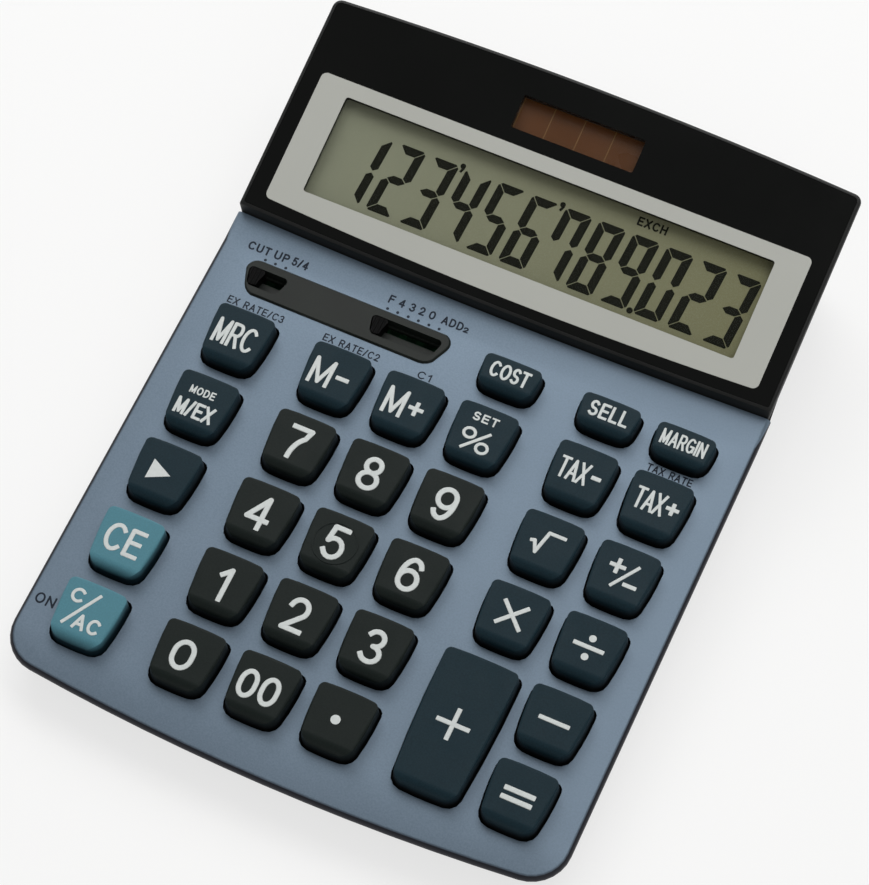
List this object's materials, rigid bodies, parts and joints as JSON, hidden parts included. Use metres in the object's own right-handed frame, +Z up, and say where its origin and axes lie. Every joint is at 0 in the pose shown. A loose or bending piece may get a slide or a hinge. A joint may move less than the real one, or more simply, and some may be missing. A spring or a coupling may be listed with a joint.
{
  "type": "desk calculator",
  "caption": "Desk calculator with a raised sloping display, a solar strip, a bent metal fascia, sprung keys and two slide switches.",
  "frame": {"origin": "middle of the footprint on the desk, level with the undersides of the feet", "axes": "+X to the user's right, +Y from the front edge to the display, +Z up from the desk"},
  "size_m": [0.151, 0.2035, 0.0406],
  "materials": {
    "case": "fine satin black moulding",
    "fascia": "satin metallic blue-grey",
    "window": "gloss black, printed from behind",
    "liquid_crystal": "grey-green, flat",
    "solar": "dark brown, gloss",
    "inner_plastic": "plain moulding",
    "ribbon": "flexible printed film",
    "board": "green laminate",
    "chip": "black potting",
    "sleeve": "shrunk sleeve",
    "dome_rubber": "grey silicone",
    "inset": "satin dark grey",
    "knob": "satin black",
    "contact": "bright strip",
    "steel": "plain",
    "foot_rubber": "matt",
    "key_black": "smooth satin",
    "key_teal": "smooth satin",
    "key_pale": "smooth satin"
  },
  "bodies": {
    "base": {"upper_case": "case", "display_housing": "case", "lower_case": "case", "keypad_fascia": "fascia", "display_window": "window", "lcd_panel": "liquid_crystal", "display_holder": "inner_plastic", "lcd_ribbon": "ribbon", "solar_cell": "solar", "solar_ribbon": "ribbon", "main_board": "board", "controller_chip": "chip", "capacitor": "sleeve", "rubber_keypad": "dome_rubber", "switch_inset": "inset", "button_cell": "steel", "cell_plus_contact": "contact", "cell_minus_contact": "contact", "battery_cover": "case", "battery_cover_screw": "steel", "case_screws": "steel", "board_screws": "steel", "holder_screws": "steel", "rubber_feet": "foot_rubber"},
    "rounding_switch": {"rounding_knob": "knob", "rounding_wiper": "contact"},
    "decimal_switch": {"decimal_knob": "knob", "decimal_wiper": "contact"},
    "key_cost_body": {"key_cost": "key_teal"},
    "key_sell_body": {"key_sell": "key_teal"},
    "key_margin_body": {"key_margin": "key_teal"},
    "key_recall_body": {"key_recall": "key_teal"},
    "key_m_minus_body": {"key_m_minus": "key_teal"},
    "key_m_plus_body": {"key_m_plus": "key_teal"},
    "key_percent_body": {"key_percent": "key_teal"},
    "key_tax_minus_body": {"key_tax_minus": "key_teal"},
    "key_tax_plus_body": {"key_tax_plus": "key_teal"},
    "key_mode_body": {"key_mode": "key_teal"},
    "key_7_body": {"key_7": "key_black"},
    "key_8_body": {"key_8": "key_black"},
    "key_9_body": {"key_9": "key_black"},
    "key_root_body": {"key_root": "key_teal"},
    "key_sign_body": {"key_sign": "key_teal"},
    "key_shift_body": {"key_shift": "key_teal"},
    "key_4_body": {"key_4": "key_black"},
    "key_5_body": {"key_5": "key_black"},
    "key_6_body": {"key_6": "key_black"},
    "key_times_body": {"key_times": "key_teal"},
    "key_divide_body": {"key_divide": "key_teal"},
    "key_ce_body": {"key_ce": "key_pale"},
    "key_1_body": {"key_1": "key_black"},
    "key_2_body": {"key_2": "key_black"},
    "key_3_body": {"key_3": "key_black"},
    "key_plus_body": {"key_plus": "key_teal"},
    "key_minus_body": {"key_minus": "key_teal"},
    "key_ac_body": {"key_ac": "key_pale"},
    "key_0_body": {"key_0": "key_black"},
    "key_00_body": {"key_00": "key_black"},
    "key_point_body": {"key_point": "key_black"},
    "key_equals_body": {"key_equals": "key_teal"}
  },
  "joints": [
    {"name": "rounding_switch_slide", "type": "slide", "parent": "base", "child": "rounding_switch", "axis": [1, 0, 0], "range_m": [0, 0.0059]},
    {"name": "decimal_switch_slide", "type": "slide", "parent": "base", "child": "decimal_switch", "axis": [1, 0, 0], "range_m": [0, 0.01475]},
    {"name": "key_cost_press", "type": "slide", "parent": "base", "child": "key_cost_body", "axis": [0, 0.0523, -0.9986], "range_m": [0, 0.0015], "stiffness_N_per_m": 250, "springref_m": -0.0008, "deforming": ["rubber_keypad"]},
    {"name": "key_sell_press", "type": "slide", "parent": "base", "child": "key_sell_body", "axis": [0, 0.0523, -0.9986], "range_m": [0, 0.0015], "stiffness_N_per_m": 250, "springref_m": -0.0008, "deforming": ["rubber_keypad"]},
    {"name": "key_margin_press", "type": "slide", "parent": "base", "child": "key_margin_body", "axis": [0, 0.0523, -0.9986], "range_m": [0, 0.0015], "stiffness_N_per_m": 250, "springref_m": -0.0008, "deforming": ["rubber_keypad"]},
    {"name": "key_recall_press", "type": "slide", "parent": "base", "child": "key_recall_body", "axis": [0, 0.0523, -0.9986], "range_m": [0, 0.0015], "stiffness_N_per_m": 250, "springref_m": -0.0008, "deforming": ["rubber_keypad"]},
    {"name": "key_m_minus_press", "type": "slide", "parent": "base", "child": "key_m_minus_body", "axis": [0, 0.0523, -0.9986], "range_m": [0, 0.0015], "stiffness_N_per_m": 250, "springref_m": -0.0008, "deforming": ["rubber_keypad"]},
    {"name": "key_m_plus_press", "type": "slide", "parent": "base", "child": "key_m_plus_body", "axis": [0, 0.0523, -0.9986], "range_m": [0, 0.0015], "stiffness_N_per_m": 250, "springref_m": -0.0008, "deforming": ["rubber_keypad"]},
    {"name": "key_percent_press", "type": "slide", "parent": "base", "child": "key_percent_body", "axis": [0, 0.0523, -0.9986], "range_m": [0, 0.0015], "stiffness_N_per_m": 250, "springref_m": -0.0008, "deforming": ["rubber_keypad"]},
    {"name": "key_tax_minus_press", "type": "slide", "parent": "base", "child": "key_tax_minus_body", "axis": [0, 0.0523, -0.9986], "range_m": [0, 0.0015], "stiffness_N_per_m": 250, "springref_m": -0.0008, "deforming": ["rubber_keypad"]},
    {"name": "key_tax_plus_press", "type": "slide", "parent": "base", "child": "key_tax_plus_body", "axis": [0, 0.0523, -0.9986], "range_m": [0, 0.0015], "stiffness_N_per_m": 250, "springref_m": -0.0008, "deforming": ["rubber_keypad"]},
    {"name": "key_mode_press", "type": "slide", "parent": "base", "child": "key_mode_body", "axis": [0, 0.0523, -0.9986], "range_m": [0, 0.0015], "stiffness_N_per_m": 250, "springref_m": -0.0008, "deforming": ["rubber_keypad"]},
    {"name": "key_7_press", "type": "slide", "parent": "base", "child": "key_7_body", "axis": [0, 0.0523, -0.9986], "range_m": [0, 0.0015], "stiffness_N_per_m": 250, "springref_m": -0.0008, "deforming": ["rubber_keypad"]},
    {"name": "key_8_press", "type": "slide", "parent": "base", "child": "key_8_body", "axis": [0, 0.0523, -0.9986], "range_m": [0, 0.0015], "stiffness_N_per_m": 250, "springref_m": -0.0008, "deforming": ["rubber_keypad"]},
    {"name": "key_9_press", "type": "slide", "parent": "base", "child": "key_9_body", "axis": [0, 0.0523, -0.9986], "range_m": [0, 0.0015], "stiffness_N_per_m": 250, "springref_m": -0.0008, "deforming": ["rubber_keypad"]},
    {"name": "key_root_press", "type": "slide", "parent": "base", "child": "key_root_body", "axis": [0, 0.0523, -0.9986], "range_m": [0, 0.0015], "stiffness_N_per_m": 250, "springref_m": -0.0008, "deforming": ["rubber_keypad"]},
    {"name": "key_sign_press", "type": "slide", "parent": "base", "child": "key_sign_body", "axis": [0, 0.0523, -0.9986], "range_m": [0, 0.0015], "stiffness_N_per_m": 250, "springref_m": -0.0008, "deforming": ["rubber_keypad"]},
    {"name": "key_shift_press", "type": "slide", "parent": "base", "child": "key_shift_body", "axis": [0, 0.0523, -0.9986], "range_m": [0, 0.0015], "stiffness_N_per_m": 250, "springref_m": -0.0008, "deforming": ["rubber_keypad"]},
    {"name": "key_4_press", "type": "slide", "parent": "base", "child": "key_4_body", "axis": [0, 0.0523, -0.9986], "range_m": [0, 0.0015], "stiffness_N_per_m": 250, "springref_m": -0.0008, "deforming": ["rubber_keypad"]},
    {"name": "key_5_press", "type": "slide", "parent": "base", "child": "key_5_body", "axis": [0, 0.0523, -0.9986], "range_m": [0, 0.0015], "stiffness_N_per_m": 250, "springref_m": -0.0008, "deforming": ["rubber_keypad"]},
    {"name": "key_6_press", "type": "slide", "parent": "base", "child": "key_6_body", "axis": [0, 0.0523, -0.9986], "range_m": [0, 0.0015], "stiffness_N_per_m": 250, "springref_m": -0.0008, "deforming": ["rubber_keypad"]},
    {"name": "key_times_press", "type": "slide", "parent": "base", "child": "key_times_body", "axis": [0, 0.0523, -0.9986], "range_m": [0, 0.0015], "stiffness_N_per_m": 250, "springref_m": -0.0008, "deforming": ["rubber_keypad"]},
    {"name": "key_divide_press", "type": "slide", "parent": "base", "child": "key_divide_body", "axis": [0, 0.0523, -0.9986], "range_m": [0, 0.0015], "stiffness_N_per_m": 250, "springref_m": -0.0008, "deforming": ["rubber_keypad"]},
    {"name": "key_ce_press", "type": "slide", "parent": "base", "child": "key_ce_body", "axis": [0, 0.0523, -0.9986], "range_m": [0, 0.0015], "stiffness_N_per_m": 250, "springref_m": -0.0008, "deforming": ["rubber_keypad"]},
    {"name": "key_1_press", "type": "slide", "parent": "base", "child": "key_1_body", "axis": [0, 0.0523, -0.9986], "range_m": [0, 0.0015], "stiffness_N_per_m": 250, "springref_m": -0.0008, "deforming": ["rubber_keypad"]},
    {"name": "key_2_press", "type": "slide", "parent": "base", "child": "key_2_body", "axis": [0, 0.0523, -0.9986], "range_m": [0, 0.0015], "stiffness_N_per_m": 250, "springref_m": -0.0008, "deforming": ["rubber_keypad"]},
    {"name": "key_3_press", "type": "slide", "parent": "base", "child": "key_3_body", "axis": [0, 0.0523, -0.9986], "range_m": [0, 0.0015], "stiffness_N_per_m": 250, "springref_m": -0.0008, "deforming": ["rubber_keypad"]},
    {"name": "key_plus_press", "type": "slide", "parent": "base", "child": "key_plus_body", "axis": [0, 0.0523, -0.9986], "range_m": [0, 0.0015], "stiffness_N_per_m": 250, "springref_m": -0.0008, "deforming": ["rubber_keypad"]},
    {"name": "key_minus_press", "type": "slide", "parent": "base", "child": "key_minus_body", "axis": [0, 0.0523, -0.9986], "range_m": [0, 0.0015], "stiffness_N_per_m": 250, "springref_m": -0.0008, "deforming": ["rubber_keypad"]},
    {"name": "key_ac_press", "type": "slide", "parent": "base", "child": "key_ac_body", "axis": [0, 0.0523, -0.9986], "range_m": [0, 0.0015], "stiffness_N_per_m": 250, "springref_m": -0.0008, "deforming": ["rubber_keypad"]},
    {"name": "key_0_press", "type": "slide", "parent": "base", "child": "key_0_body", "axis": [0, 0.0523, -0.9986], "range_m": [0, 0.0015], "stiffness_N_per_m": 250, "springref_m": -0.0008, "deforming": ["rubber_keypad"]},
    {"name": "key_00_press", "type": "slide", "parent": "base", "child": "key_00_body", "axis": [0, 0.0523, -0.9986], "range_m": [0, 0.0015], "stiffness_N_per_m": 250, "springref_m": -0.0008, "deforming": ["rubber_keypad"]},
    {"name": "key_point_press", "type": "slide", "parent": "base", "child": "key_point_body", "axis": [0, 0.0523, -0.9986], "range_m": [0, 0.0015], "stiffness_N_per_m": 250, "springref_m": -0.0008, "deforming": ["rubber_keypad"]},
    {"name": "key_equals_press", "type": "slide", "parent": "base", "child": "key_equals_body", "axis": [0, 0.0523, -0.9986], "range_m": [0, 0.0015], "stiffness_N_per_m": 250, "springref_m": -0.0008, "deforming": ["rubber_keypad"]}
  ]
}
